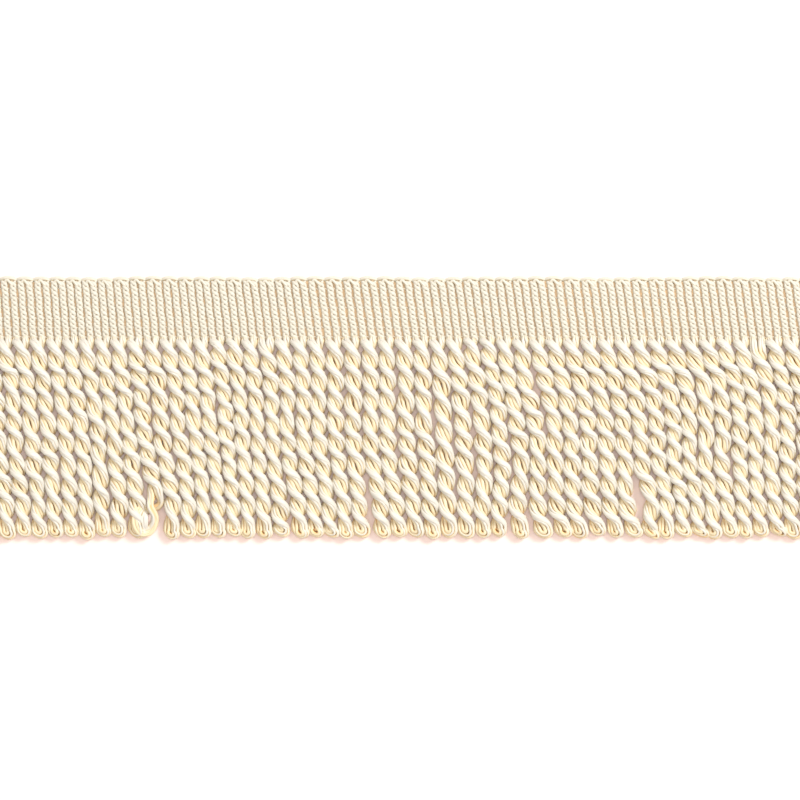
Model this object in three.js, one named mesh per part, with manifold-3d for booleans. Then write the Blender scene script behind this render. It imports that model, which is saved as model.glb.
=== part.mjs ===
import * as THREE from "three";
import { mergeVertices } from "three/addons/utils/BufferGeometryUtils.js";
import Module from "manifold-3d";

// A cut length of bullion fringe, lying face up. A ribbed heading band runs along +X with a row of small
// arches on its upper edge, and one comb of two-ply cords hangs from its foot towards -Y.
// Millimetres, +Z up. The shapes are laid out from a point near the middle of the trim, and the finished
// group is moved so that its origin is the middle of its box at the surface it lies on.

const CORDS = 53;
const RIBS_PER_CORD = 2;
const PIECE_GAP = 0.3;
const CUT_MARGIN = 1;
const ARCH_PULL = 0.75;
const SNAP = 1e-3;

const HEADING = {
  top: 37.8,
  foot: 18.5,
  crest: 2.4,
  valley: 1.6,
  archRise: 1.5,
  archSteps: 4,
  topWander: 0.22,
};
const SPINE = { depth: 3.4, thickness: 2.2, inset: 0.2 };
const CORD = {
  width: 3.9,
  flat: 2.2,
  thickness: 4.2,
  start: 17.2,
  steps: 5,
  nearest: 4.25,
  sway: 0.16,
};
const LOOP = { radius: 2.1, thickness: 3.2, sides: 8, end: -37.2, unevenness: 0.45 };

// The heights at which each cord's sideways shift is known, from just under the heading to the end loop.
const LEVELS = { high: 6.6, upper: -4.9, middle: -16.3, lower: -27.7, tip: -34.4 };

// A row for each stretch of the trim: the cord it starts at, where that cord leaves the heading, how far its
// ribs lean over the heading's height, and how far it has shifted along X at each level.
const STRETCHES = [
  { cord: 0, foot: -126.9, rib: -1.4, high: 2.0, upper: 2.8, middle: 3.6, lower: 5.1, tip: 5.2 },
  { cord: 3, foot: -112.9, rib: -1.4, high: 2.1, upper: 2.8, middle: 3.6, lower: 5.3, tip: 5.4 },
  { cord: 6, foot: -98.6, rib: -1.5, high: 1.5, upper: 3.0, middle: 3.9, lower: 4.3, tip: 4.5 },
  { cord: 10, foot: -80.3, rib: -1.8, high: 1.3, upper: 2.5, middle: 3.7, lower: 5.0, tip: 4.4 },
  { cord: 14, foot: -61.4, rib: -2.1, high: 1.7, upper: 2.7, middle: 4.0, lower: 4.9, tip: 5.2 },
  { cord: 18, foot: -42.9, rib: -2.5, high: 1.5, upper: 2.0, middle: 2.7, lower: 3.9, tip: 4.1 },
  { cord: 22, foot: -24.0, rib: -2.8, high: 0.9, upper: 0.8, middle: 1.8, lower: 3.3, tip: 4.0 },
  { cord: 25, foot: -8.9, rib: -2.8, high: 0.6, upper: 0.4, middle: 1.2, lower: 2.6, tip: 3.4 },
  { cord: 28, foot: 6.0, rib: -2.8, high: 0.6, upper: 0.8, middle: 1.7, lower: 2.5, tip: 3.1 },
  { cord: 31, foot: 20.3, rib: -2.7, high: 2.0, upper: 3.1, middle: 3.9, lower: 3.4, tip: 3.4 },
  { cord: 33, foot: 29.7, rib: -2.7, high: 1.7, upper: 3.8, middle: 4.9, lower: 3.9, tip: 4.6 },
  { cord: 36, foot: 44.0, rib: -2.7, high: 2.6, upper: 4.6, middle: 5.0, lower: 5.6, tip: 7.1 },
  { cord: 39, foot: 58.9, rib: -2.7, high: 2.8, upper: 4.7, middle: 5.4, lower: 6.5, tip: 7.7 },
  { cord: 41, foot: 68.3, rib: -2.7, high: 3.1, upper: 5.0, middle: 5.7, lower: 7.5, tip: 7.6 },
  { cord: 44, foot: 83.1, rib: -2.7, high: 3.7, upper: 4.2, middle: 3.9, lower: 5.8, tip: 6.4 },
  { cord: 49, foot: 106.9, rib: -2.7, high: 2.4, upper: 3.8, middle: 3.5, lower: 4.4, tip: 5.0 },
  { cord: 52, foot: 121.4, rib: -2.7, high: 2.4, upper: 3.6, middle: 3.4, lower: 4.2, tip: 4.6 },
];

// A row for each cord that strays from its stretch, with the extra shift at each level.
const STRAYS = [
  { cord: 8, high: 0, upper: 0.4, middle: 0, lower: -1.2, tip: 0.2 },
  { cord: 10, high: 0, upper: 0, middle: 0, lower: 0.4, tip: 0.8 },
  { cord: 12, high: 0.5, upper: 0.2, middle: 0.1, lower: 1.3, tip: 1.0 },
  { cord: 13, high: 0.7, upper: 0, middle: 0.9, lower: 0.2, tip: 0.4 },
  { cord: 16, high: 0, upper: 0.2, middle: 0, lower: 0.2, tip: -0.9 },
  { cord: 17, high: 0, upper: 0.3, middle: 0, lower: -0.7, tip: -0.7 },
  { cord: 20, high: 0.2, upper: -0.5, middle: -0.3, lower: 1.0, tip: 1.1 },
  { cord: 23, high: -0.3, upper: -0.4, middle: -0.4, lower: -0.2, tip: -0.9 },
  { cord: 24, high: 0.1, upper: -0.2, middle: 0, lower: -0.9, tip: -1.0 },
  { cord: 25, high: 0.2, upper: 0.2, middle: 0.2, lower: 0.8, tip: 0.6 },
  { cord: 26, high: -0.6, upper: -0.2, middle: -0.8, lower: -0.6, tip: 0.1 },
  { cord: 32, high: 0.1, upper: -0.2, middle: -0.3, lower: -0.3, tip: -1.4 },
  { cord: 34, high: -0.6, upper: 0, middle: 0, lower: 0.4, tip: 0.8 },
  { cord: 35, high: 0.3, upper: 0.5, middle: 0.2, lower: 0.4, tip: 1.2 },
  { cord: 39, high: -0.2, upper: 0, middle: 0, lower: -0.8, tip: 0 },
  { cord: 40, high: 0.2, upper: -0.2, middle: 0.1, lower: 1.3, tip: -0.2 },
  { cord: 46, high: 0, upper: 0.5, middle: 0.8, lower: 0, tip: -0.3 },
  { cord: 47, high: -0.3, upper: 0.3, middle: -0.2, lower: -0.7, tip: -0.1 },
];

// One slack cord lies over the end of its neighbour and opens into a large loop.
const SLACK = {
  cord: 11,
  high: 0.1,
  upper: -0.3,
  middle: 0.6,
  lower: 0.1,
  tip: -1.7,
  lowerRise: 0.9,
  tipRise: 2.7,
  loopRadius: 3.7,
  loopThickness: 2.4,
  end: -36.6,
};

// Two waves, one slow and one quick, that make the cords and edges differ from each other.
const WANDER = {
  slow: { size: 0.6, perCord: 2.39, perLevel: 1.9 },
  quick: { size: 0.4, perCord: 5.13, perLevel: -2.7 },
  endLevel: 7,
  edgeLevel: 3,
  edgeStretch: 4,
};

const YARN = { color: 0xf7edd0, roughness: 0.55, metalness: 0 };
const YARN_SHADE = { color: 0xf1e2bd, roughness: 0.6, metalness: 0 };

const wasm = await Module();
wasm.setup();

// One column of STRETCHES where another column has a given value, between the two rows around it.
function stretchValue(column, key, value) {
  const last = STRETCHES[STRETCHES.length - 1];
  const to = STRETCHES.slice(1).find((row) => row[key] >= value) ?? last;
  const from = STRETCHES[STRETCHES.indexOf(to) - 1];
  return THREE.MathUtils.mapLinear(value, from[key], to[key], from[column], to[column]);
}

// A small wander that differs from cord to cord and from level to level, between -1 and 1.
function wander(cord, level) {
  const wave = ({ size, perCord, perLevel }) => size * Math.sin(perCord * cord + perLevel * level);
  return wave(WANDER.slow) + wave(WANDER.quick);
}

// Where the boundary before a cord crosses the heading's foot; the trim's ends are the first and last.
function boundaryX(cord) {
  return stretchValue("foot", "cord", cord - 0.5);
}

// How high the end of a cord's loop lies along Y.
function loopEnd(cord) {
  return LOOP.end + LOOP.unevenness * wander(cord, WANDER.endLevel);
}

// Every cord's X at every level. Each cord keeps clear of the one before it, but the slack cord's end lies
// over its neighbour.
function cordShifts() {
  const shifts = [];
  for (let cord = 0; cord < CORDS; cord += 1) {
    const slack = cord === SLACK.cord;
    const stray = slack ? SLACK : STRAYS.find((row) => row.cord === cord);
    const before = shifts[cord - 1];
    const shift = { foot: stretchValue("foot", "cord", cord) };
    Object.entries(LEVELS).forEach(([level, y], k) => {
      const own = (stray?.[level] ?? 0) + CORD.sway * wander(cord, k);
      const wished = shift.foot + stretchValue(level, "cord", cord) + own;
      const lying = slack && y < LEVELS.middle;
      shift[level] = before && !lying ? Math.max(wished, before[level] + CORD.nearest) : wished;
    });
    shifts.push(shift);
  }
  return shifts;
}

// The points that a cord's middle line runs through, from inside the spine to the middle of its end loop.
function cordPoints(shift, cord) {
  const slack = cord === SLACK.cord;
  const middle = CORD.thickness / 2;
  const rise = slack ? { lower: SLACK.lowerRise, tip: SLACK.tipRise } : {};
  const points = [new THREE.Vector3(shift.foot, CORD.start, middle)];
  for (const [level, y] of Object.entries(LEVELS)) {
    points.push(new THREE.Vector3(shift[level], y, middle + (rise[level] ?? 0)));
  }
  return points;
}

// A geometry's vertices on a fine grid, so that faces meant to lie in one plane do.
function snapped(geometry) {
  const position = geometry.getAttribute("position");
  for (let i = 0; i < position.array.length; i += 1) {
    position.array[i] = Math.round(position.array[i] / SNAP) * SNAP;
  }
  return geometry;
}

// A three.js geometry as a solid that can be joined and cut.
function solidFrom(geometry) {
  const bare = snapped(geometry.clone());
  bare.deleteAttribute("normal");
  bare.deleteAttribute("uv");
  const merged = mergeVertices(bare, SNAP / 2);
  return new wasm.Manifold(
    new wasm.Mesh({
      numProp: 3,
      vertProperties: merged.attributes.position.array,
      triVerts: new Uint32Array(merged.index.array),
    }),
  );
}

// A solid back as a three.js geometry.
function geometryFrom(solid) {
  const mesh = solid.getMesh();
  const positions = new Float32Array(mesh.numVert * 3);
  for (let i = 0; i < mesh.numVert; i += 1) {
    const start = i * mesh.numProp;
    positions.set(mesh.vertProperties.subarray(start, start + 3), i * 3);
  }
  const geometry = new THREE.BufferGeometry();
  geometry.setAttribute("position", new THREE.BufferAttribute(positions, 3));
  geometry.setIndex(new THREE.BufferAttribute(mesh.triVerts, 1));
  return geometry;
}

// The six-sided section of a cord, its flats lying level. Its first axis is the trim's thickness.
function cordSection() {
  const halfHeight = CORD.thickness / 2;
  const halfFlat = CORD.flat / 2;
  const halfWidth = CORD.width / 2;
  return new THREE.Shape([
    new THREE.Vector2(-halfHeight, -halfFlat),
    new THREE.Vector2(0, -halfWidth),
    new THREE.Vector2(halfHeight, -halfFlat),
    new THREE.Vector2(halfHeight, halfFlat),
    new THREE.Vector2(0, halfWidth),
    new THREE.Vector2(-halfHeight, halfFlat),
  ]);
}

// The round end of a cord, a low drum that stands on its end.
function loopDrum(centre, radius, thickness) {
  const drum = new THREE.CylinderGeometry(radius, radius, thickness, LOOP.sides);
  drum.rotateX(Math.PI / 2);
  drum.translate(centre.x, centre.y, centre.z);
  return drum;
}

// One cord, from inside the spine to its end loop.
function cordSolid(shift, cord) {
  const slack = cord === SLACK.cord;
  const radius = slack ? SLACK.loopRadius : LOOP.radius;
  const thickness = slack ? SLACK.loopThickness : LOOP.thickness;
  const points = cordPoints(shift, cord);
  const last = points[points.length - 1];
  last.y = radius + (slack ? SLACK.end : loopEnd(cord));
  const rope = new THREE.ExtrudeGeometry(cordSection(), {
    steps: CORD.steps,
    extrudePath: new THREE.CatmullRomCurve3(points),
  });
  const middle = last.clone().setZ(slack ? last.z : thickness / 2);
  return solidFrom(rope).add(solidFrom(loopDrum(middle, radius, thickness)));
}

// The strip that all the cords hang from, just under the heading.
function spineSolid() {
  const left = boundaryX(0) + SPINE.inset;
  const right = boundaryX(CORDS) - SPINE.inset;
  const strip = new THREE.BoxGeometry(right - left, SPINE.depth, SPINE.thickness);
  const top = HEADING.foot - PIECE_GAP;
  strip.translate((left + right) / 2, top - SPINE.depth / 2, SPINE.thickness / 2);
  return solidFrom(strip);
}

// What lies under the surface that the trim lies on, below all the cords.
function underSurface() {
  const length = STRETCHES[STRETCHES.length - 1].foot - STRETCHES[0].foot;
  const slab = new THREE.BoxGeometry(2 * length, 2 * length, CUT_MARGIN);
  slab.translate(0, 0, -CUT_MARGIN / 2);
  return solidFrom(slab);
}

// The comb of cords, flat where it touches the surface.
function fringeGeometry() {
  const shifts = cordShifts();
  const comb = shifts.reduce((whole, shift, cord) => whole.add(cordSolid(shift, cord)), spineSolid());
  return geometryFrom(comb.subtract(underSurface()));
}

// The heading's section across its ribs, carried along Y past both edges of the heading.
function ribbedSlab() {
  const shape = new THREE.Shape();
  shape.moveTo(boundaryX(0), 0);
  shape.lineTo(boundaryX(CORDS), 0);
  for (let rib = CORDS * RIBS_PER_CORD; rib > 0; rib -= 1) {
    shape.lineTo(boundaryX(rib / RIBS_PER_CORD), HEADING.valley);
    shape.lineTo(boundaryX((rib - 0.5) / RIBS_PER_CORD), HEADING.crest);
  }
  shape.lineTo(boundaryX(0), HEADING.valley);
  const depth = HEADING.top - HEADING.foot + 2 * CUT_MARGIN;
  const slab = new THREE.ExtrudeGeometry(shape, { depth, bevelEnabled: false });
  slab.rotateX(Math.PI / 2);
  slab.translate(0, HEADING.top + CUT_MARGIN, 0);
  return slab;
}

// The height of the heading's upper edge near a cord, which wanders a little along the trim.
function archTop(cord) {
  return HEADING.top + HEADING.topWander * wander(cord / WANDER.edgeStretch, WANDER.edgeLevel);
}

// The heading's outline seen from above, with an arch over each boundary between two cords.
function scallopedPlate() {
  const leftEnd = boundaryX(0) - CUT_MARGIN;
  const rightEnd = boundaryX(CORDS) + CUT_MARGIN;
  const shape = new THREE.Shape();
  shape.moveTo(leftEnd, HEADING.foot);
  shape.lineTo(rightEnd, HEADING.foot);
  for (let cord = CORDS; cord >= 0; cord -= 1) {
    const right = Math.min(boundaryX(cord + 0.5), rightEnd);
    const left = Math.max(boundaryX(cord - 0.5), leftEnd);
    const shoulder = archTop(cord) - HEADING.archRise;
    const pull = shoulder + HEADING.archRise / ARCH_PULL;
    shape.lineTo(right, shoulder);
    shape.bezierCurveTo(right, pull, left, pull, left, shoulder);
  }
  const plate = new THREE.ExtrudeGeometry(shape, {
    depth: HEADING.crest + 2 * CUT_MARGIN,
    bevelEnabled: false,
    curveSegments: HEADING.archSteps,
  });
  plate.translate(0, 0, -CUT_MARGIN);
  return plate;
}

// The heading's ribs lean: each point moves along X in step with its height above the foot.
function leaned(geometry) {
  const position = geometry.getAttribute("position");
  const height = HEADING.top - HEADING.foot;
  for (let i = 0; i < position.count; i += 1) {
    const x = position.getX(i);
    const share = (position.getY(i) - HEADING.foot) / height;
    position.setX(i, x + share * stretchValue("rib", "foot", x));
  }
  return geometry;
}

// The heading band.
function headingGeometry() {
  const cut = solidFrom(ribbedSlab()).intersect(solidFrom(scallopedPlate()));
  return leaned(geometryFrom(cut));
}

// A named mesh in one plain material.
function piece(name, geometry, look) {
  const mesh = new THREE.Mesh(geometry, new THREE.MeshStandardMaterial(look));
  mesh.name = name;
  mesh.geometry.computeVertexNormals();
  return mesh;
}

const trim = new THREE.Group();
trim.add(piece("heading", headingGeometry(), YARN));
trim.add(piece("fringe", fringeGeometry(), YARN_SHADE));

const box = new THREE.Box3().setFromObject(trim);
const middle = box.getCenter(new THREE.Vector3());
for (const mesh of trim.children) {
  mesh.geometry.translate(-middle.x, -middle.y, -box.min.z);
}

export default trim;
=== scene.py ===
"""Looks of a cut length of bullion fringe: a ribbed heading and a comb of two-ply cords, lying face up.

The cords follow the same routes as the CAD comb. Lengths are millimetres until a mesh is made, and the
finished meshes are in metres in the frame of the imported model, +Z up.
"""

from __future__ import annotations

import logging
import math
from dataclasses import dataclass, field, replace
from enum import Enum

import bpy
import numpy as np
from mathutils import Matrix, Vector


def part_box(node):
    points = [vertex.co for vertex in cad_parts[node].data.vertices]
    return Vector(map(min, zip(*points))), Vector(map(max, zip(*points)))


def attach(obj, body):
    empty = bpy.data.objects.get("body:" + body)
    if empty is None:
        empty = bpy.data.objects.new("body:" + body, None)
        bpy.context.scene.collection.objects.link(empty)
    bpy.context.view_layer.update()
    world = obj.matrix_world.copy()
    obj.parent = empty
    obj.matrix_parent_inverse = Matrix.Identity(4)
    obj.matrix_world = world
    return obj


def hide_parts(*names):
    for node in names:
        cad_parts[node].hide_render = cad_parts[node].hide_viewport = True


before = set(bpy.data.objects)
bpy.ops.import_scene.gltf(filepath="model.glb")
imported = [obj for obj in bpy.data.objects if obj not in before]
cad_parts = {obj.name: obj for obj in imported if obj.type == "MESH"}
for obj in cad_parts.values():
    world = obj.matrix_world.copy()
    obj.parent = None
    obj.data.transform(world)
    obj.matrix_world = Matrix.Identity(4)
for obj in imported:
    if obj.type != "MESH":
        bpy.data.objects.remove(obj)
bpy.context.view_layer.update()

log = logging.getLogger("trim")

MM = 0.001
UP = np.array([0.0, 0.0, 1.0])
SEED = 53

# The photograph's size and scale, and the row of pixels where the design's Y is 0.
PHOTO_SIDE_PX = 800
PX_PER_MM = 3.5
ORIGIN_ROW_PX = 408

CORDS = 53
RIBS_PER_CORD = 2

# How many rays try how open a corner lies, and how far they spread to either side, in radians.
RAYS = 33
WIDEST_RAY = 0.47 * np.pi

# The share of its painted light that a corner keeps low by the floor, where its colour is painted
# into shade, and a range of heights below everything, for yarn with no painted shade near the floor.
IN_GLOOM = 0.1
EVERYWHERE_LIT = (-2.0, -1.0)

# The detail of the noise that draws the fibres.
FIBRE_DETAIL = 2.0

# The waves down a cord of its slow and quick unevenness, and how the draws spread and shift them.
SLOW_WAVES = 4.0
SLOW_PHASE = 5.0
QUICK_WAVES = 9.0
QUICK_SPREAD = 3.0
QUICK_PHASE = 7.0


def smooth(value: np.ndarray | float) -> np.ndarray | float:
    """A smooth step of values from 0 to 1, held flat outside that range.

    Args:
        value: Where on the step, one number or an array.

    Returns:
        The eased share, from 0 to 1.
    """
    held = np.clip(value, 0.0, 1.0)
    return held * held * (3.0 - 2.0 * held)


def unit(vectors: np.ndarray) -> np.ndarray:
    """Vectors at length one.

    Args:
        vectors: An array whose last axis holds x, y and z.

    Returns:
        The same directions, each of length one.
    """
    return vectors / np.maximum(np.linalg.norm(vectors, axis=-1, keepdims=True), 1e-9)


@dataclass(frozen=True)
class Stretch:
    """Where the cords of one stretch of the trim run, as in the CAD source.

    cord is the cord it starts at, foot where that cord leaves the heading, rib how far its ribs lean over
    the heading's height, and the rest how far it has shifted along X at each level.
    """

    cord: int
    foot: float
    rib: float
    high: float
    upper: float
    middle: float
    lower: float
    tip: float


@dataclass(frozen=True)
class Stray:
    """The extra shift at each level of a cord that strays from its stretch."""

    cord: int
    high: float
    upper: float
    middle: float
    lower: float
    tip: float


STRETCHES = (
    Stretch(cord=0, foot=-126.9, rib=-1.4, high=2.0, upper=2.8, middle=3.6, lower=5.1, tip=5.2),
    Stretch(cord=3, foot=-112.9, rib=-1.4, high=2.1, upper=2.8, middle=3.6, lower=5.3, tip=5.4),
    Stretch(cord=6, foot=-98.6, rib=-1.5, high=1.5, upper=3.0, middle=3.9, lower=4.3, tip=4.5),
    Stretch(cord=10, foot=-80.3, rib=-1.8, high=1.3, upper=2.5, middle=3.7, lower=5.0, tip=4.4),
    Stretch(cord=14, foot=-61.4, rib=-2.1, high=1.7, upper=2.7, middle=4.0, lower=4.9, tip=5.2),
    Stretch(cord=18, foot=-42.9, rib=-2.5, high=1.5, upper=2.0, middle=2.7, lower=3.9, tip=4.1),
    Stretch(cord=22, foot=-24.0, rib=-2.8, high=0.9, upper=0.8, middle=1.8, lower=3.3, tip=4.0),
    Stretch(cord=25, foot=-8.9, rib=-2.8, high=0.6, upper=0.4, middle=1.2, lower=2.6, tip=3.4),
    Stretch(cord=28, foot=6.0, rib=-2.8, high=0.6, upper=0.8, middle=1.7, lower=2.5, tip=3.1),
    Stretch(cord=31, foot=20.3, rib=-2.7, high=2.0, upper=3.1, middle=3.9, lower=3.4, tip=3.4),
    Stretch(cord=33, foot=29.7, rib=-2.7, high=1.7, upper=3.8, middle=4.9, lower=3.9, tip=4.6),
    Stretch(cord=36, foot=44.0, rib=-2.7, high=2.6, upper=4.6, middle=5.0, lower=5.6, tip=7.1),
    Stretch(cord=39, foot=58.9, rib=-2.7, high=2.8, upper=4.7, middle=5.4, lower=6.5, tip=7.7),
    Stretch(cord=41, foot=68.3, rib=-2.7, high=3.1, upper=5.0, middle=5.7, lower=7.5, tip=7.6),
    Stretch(cord=44, foot=83.1, rib=-2.7, high=3.7, upper=4.2, middle=3.9, lower=5.8, tip=6.4),
    Stretch(cord=49, foot=106.9, rib=-2.7, high=2.4, upper=3.8, middle=3.5, lower=4.4, tip=5.0),
    Stretch(cord=52, foot=121.4, rib=-2.7, high=2.4, upper=3.6, middle=3.4, lower=4.2, tip=4.6),
)

STRAYS = (
    Stray(cord=8, high=0, upper=0.4, middle=0, lower=-1.2, tip=0.2),
    Stray(cord=10, high=0, upper=0, middle=0, lower=0.4, tip=0.8),
    Stray(cord=12, high=0.5, upper=0.2, middle=0.1, lower=1.3, tip=1.0),
    Stray(cord=13, high=0.7, upper=0, middle=0.9, lower=0.2, tip=0.4),
    Stray(cord=16, high=0, upper=0.2, middle=0, lower=0.2, tip=-0.9),
    Stray(cord=17, high=0, upper=0.3, middle=0, lower=-0.7, tip=-0.7),
    Stray(cord=20, high=0.2, upper=-0.5, middle=-0.3, lower=1.0, tip=1.1),
    Stray(cord=23, high=-0.3, upper=-0.4, middle=-0.4, lower=-0.2, tip=-0.9),
    Stray(cord=24, high=0.1, upper=-0.2, middle=0, lower=-0.9, tip=-1.0),
    Stray(cord=25, high=0.2, upper=0.2, middle=0.2, lower=0.8, tip=0.6),
    Stray(cord=26, high=-0.6, upper=-0.2, middle=-0.8, lower=-0.6, tip=0.1),
    Stray(cord=32, high=0.1, upper=-0.2, middle=-0.3, lower=-0.3, tip=-1.4),
    Stray(cord=34, high=-0.6, upper=0, middle=0, lower=0.4, tip=0.8),
    Stray(cord=35, high=0.3, upper=0.5, middle=0.2, lower=0.4, tip=1.2),
    Stray(cord=39, high=-0.2, upper=0, middle=0, lower=-0.8, tip=0),
    Stray(cord=40, high=0.2, upper=-0.2, middle=0.1, lower=1.3, tip=-0.2),
    Stray(cord=46, high=0, upper=0.5, middle=0.8, lower=0, tip=-0.3),
    Stray(cord=47, high=-0.3, upper=0.3, middle=-0.2, lower=-0.7, tip=-0.1),
)

SLACK_CORD = Stray(cord=11, high=0.1, upper=-0.3, middle=0.6, lower=1.2, tip=0.6)


@dataclass(frozen=True)
class OddTwist:
    """A cord whose twist differs from its neighbours'.

    crossings counts how often its plies cross, first and final are the heights of the first and the last
    crossing, and lean is how far its end loop leans to the right for every millimetre of its radius.
    """

    cord: int
    crossings: int
    first: float
    final: float
    lean: float


ODD_TWISTS = (
    OddTwist(cord=8, crossings=8, first=16.6, final=-29.4, lean=0.3),
    OddTwist(cord=11, crossings=8, first=16.6, final=-21.0, lean=0.0),
    OddTwist(cord=14, crossings=9, first=16.6, final=-30.0, lean=0.2),
    OddTwist(cord=16, crossings=10, first=17.4, final=-31.2, lean=0.5),
    OddTwist(cord=17, crossings=9, first=17.4, final=-31.0, lean=0.1),
    OddTwist(cord=19, crossings=9, first=15.4, final=-32.4, lean=0.5),
    OddTwist(cord=22, crossings=9, first=16.6, final=-32.5, lean=0.6),
    OddTwist(cord=29, crossings=8, first=16.4, final=-30.6, lean=0.0),
    OddTwist(cord=31, crossings=9, first=17.5, final=-31.0, lean=0.3),
    OddTwist(cord=32, crossings=10, first=17.5, final=-31.3, lean=0.4),
    OddTwist(cord=40, crossings=9, first=16.7, final=-32.2, lean=1.0),
    OddTwist(cord=42, crossings=10, first=16.9, final=-31.8, lean=0.6),
    OddTwist(cord=43, crossings=9, first=16.8, final=-32.4, lean=1.1),
    OddTwist(cord=44, crossings=8, first=16.6, final=-33.0, lean=0.1),
    OddTwist(cord=46, crossings=10, first=17.4, final=-31.4, lean=0.5),
    OddTwist(cord=48, crossings=8, first=12.9, final=-32.0, lean=0.9),
    OddTwist(cord=49, crossings=10, first=16.8, final=-31.2, lean=0.4),
)


@dataclass(frozen=True)
class Waypoint:
    """One place that the slack cord's open loop passes, and how far apart its ends lie there."""

    x: float
    y: float
    z: float
    spread: float


SLACK_LOOP = (
    Waypoint(x=-71.1, y=-28.2, z=3.9, spread=0.5),
    Waypoint(x=-69.9, y=-30.9, z=3.2, spread=0.55),
    Waypoint(x=-70.3, y=-33.5, z=2.5, spread=0.65),
    Waypoint(x=-71.6, y=-35.1, z=2.2, spread=0.85),
    Waypoint(x=-73.3, y=-35.1, z=2.8, spread=1.25),
    Waypoint(x=-74.2, y=-33.2, z=3.5, spread=1.7),
    Waypoint(x=-74.2, y=-30.8, z=3.5, spread=1.7),
    Waypoint(x=-73.3, y=-29.0, z=2.7, spread=1.2),
    Waypoint(x=-70.9, y=-28.6, z=1.2, spread=0.5),
    Waypoint(x=-68.7, y=-27.6, z=1.7, spread=0.5),
)


@dataclass(frozen=True)
class Plan:
    """The trim's layout seen from above, worked out as in the CAD source.

    nearest is the least distance between neighbouring cords. edge_level and end_level tell the wander of
    the upper edge and of the cords' ends from that of their routes.
    """

    foot: float = 18.5
    top: float = 37.8
    top_wander: float = 0.22
    start: float = 17.2
    levels: tuple[float, ...] = (6.6, -4.9, -16.3, -27.7, -34.4)
    loop_end: float = -37.2
    unevenness: float = 0.45
    slack_end: float = -36.6
    nearest: float = 4.25
    sway: float = 0.16
    edge_stretch: float = 4.0
    edge_level: float = 3.0
    end_level: float = 7.0
    slow_wander: tuple[float, float] = (2.39, 1.9)
    quick_wander: tuple[float, float] = (5.13, -2.7)
    slow_share: float = 0.6

    def column(self, name: str) -> np.ndarray:
        """One column of the table of stretches."""
        return np.array([getattr(row, name) for row in STRETCHES], float)

    def along(self, name: str, key: str, value: np.ndarray | float) -> np.ndarray:
        """A column of the stretches where another column has a given value.

        Args:
            name: The column that is read.
            key: The column whose value is known.
            value: Its value, one number or an array.

        Returns:
            The column there, carried on in a straight line past both ends.
        """
        keys, read = self.column(key), self.column(name)
        value = np.asarray(value, float)
        last = np.clip(np.searchsorted(keys[1:-1], value), 0, len(keys) - 2)
        share = (value - keys[last]) / (keys[last + 1] - keys[last])
        return read[last] + share * (read[last + 1] - read[last])

    def wander(self, cord: np.ndarray | float, level: float) -> np.ndarray | float:
        """A small wander that differs from cord to cord and from level to level.

        Args:
            cord: Which cord, or a place between two.
            level: Which level, any number.

        Returns:
            The wander there, between -1 and 1.
        """
        slow = np.sin(self.slow_wander[0] * cord + self.slow_wander[1] * level)
        quick = np.sin(self.quick_wander[0] * cord + self.quick_wander[1] * level)
        return self.slow_share * slow + (1 - self.slow_share) * quick

    def boundary_x(self, cord: np.ndarray | float) -> np.ndarray:
        """Where the boundary before a cord crosses the heading's foot."""
        return self.along("foot", "cord", np.asarray(cord, float) - 0.5)

    def leaned_x(self, x: np.ndarray | float, y: np.ndarray | float) -> np.ndarray:
        """Where a point of the heading lies at height y if it starts from x at the foot.

        Args:
            x: Its place along the foot.
            y: Its height.

        Returns:
            Its place along X with the ribs' lean.
        """
        share = (np.asarray(y, float) - self.foot) / (self.top - self.foot)
        return x + share * self.along("rib", "foot", x)

    def arch_top(self, cord: float) -> float:
        """The height of the heading's upper edge near a cord."""
        return self.top + self.top_wander * float(self.wander(cord / self.edge_stretch, self.edge_level))

    def cord_end(self, cord: int) -> float:
        """How far down the end of a cord's loop lies.

        Args:
            cord: Which cord.

        Returns:
            The height of its lowest point.
        """
        if cord == SLACK_CORD.cord:
            return self.slack_end
        return self.loop_end + self.unevenness * float(self.wander(cord, self.end_level))

    def routes(self) -> np.ndarray:
        """Every cord's X at its start and at each level.

        Returns:
            A row for each cord, in the order of start and levels.
        """
        names = ("high", "upper", "middle", "lower", "tip")
        strays = {row.cord: row for row in (*STRAYS, SLACK_CORD)}
        found = np.zeros((CORDS, 1 + len(names)))
        for cord in range(CORDS):
            found[cord, 0] = self.along("foot", "cord", cord)
            for k, name in enumerate(names):
                own = getattr(strays[cord], name) if cord in strays else 0.0
                own += self.sway * float(self.wander(cord, float(k)))
                wished = found[cord, 0] + float(self.along(name, "cord", cord)) + own
                lying = cord == SLACK_CORD.cord and self.levels[k] < self.levels[2]
                held = cord > 0 and not lying
                least = found[cord - 1, k + 1] + self.nearest
                found[cord, k + 1] = max(wished, least) if held else wished
        return found


class YarnPart(Enum):
    """What a run of yarn is in the trim, which decides its dye and its shine."""

    CORD = "cord_yarn"
    RIB = "heading_yarn"
    BINDING = "binding_thread"
    GROUND = "ground_cloth"


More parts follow.
